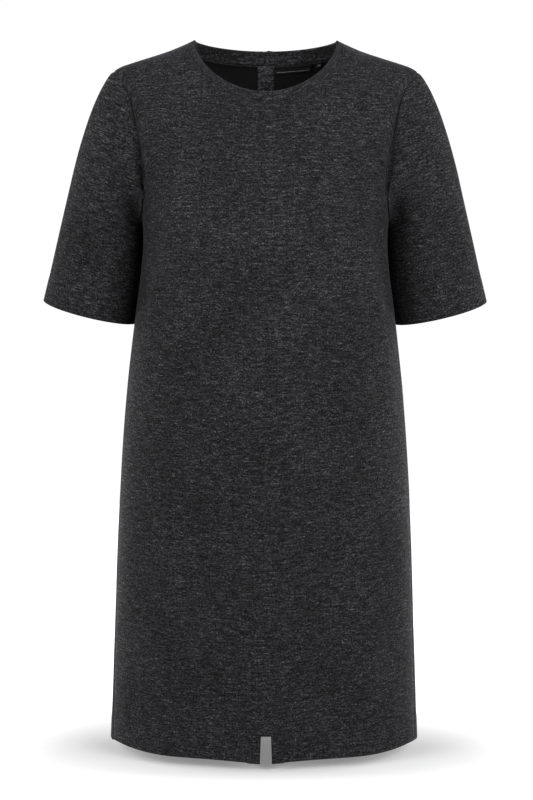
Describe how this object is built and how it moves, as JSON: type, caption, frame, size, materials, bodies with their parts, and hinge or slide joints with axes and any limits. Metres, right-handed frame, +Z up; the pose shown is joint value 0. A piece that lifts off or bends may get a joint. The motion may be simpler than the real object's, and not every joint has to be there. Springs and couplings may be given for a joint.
{
  "type": "jumper dress",
  "caption": "Short-sleeved A-line jumper dress in charcoal heather cloth with a round neckband, filled out as worn.",
  "frame": {"origin": "midway between the two high points of the shoulders, where the wearer's shoulders carry the dress", "axes": "+Z up, -Y out of the front of the dress, +X to the wearer's left"},
  "size_m": [0.558, 0.2437, 0.8788],
  "materials": {
    "heather_cloth": "matt charcoal heather, felted double knit",
    "neckband_cloth": "matt charcoal heather, doubled and pressed",
    "black_lining": "smooth black lining with a slight sheen",
    "label_cloth": "woven black label"
  },
  "bodies": {
    "root": {"front": "heather_cloth", "back_left": "heather_cloth", "back_right": "heather_cloth", "sleeve_left": "heather_cloth", "sleeve_right": "heather_cloth", "neckband_front": "neckband_cloth", "neckband_back_left": "neckband_cloth", "neckband_back_right": "neckband_cloth", "back_lining_left": "black_lining", "back_lining_right": "black_lining", "back_seam_strip": "heather_cloth", "neck_label": "label_cloth", "size_tab": "label_cloth", "notch_facing_left": "heather_cloth", "notch_facing_right": "heather_cloth"}
  },
  "joints": []
}
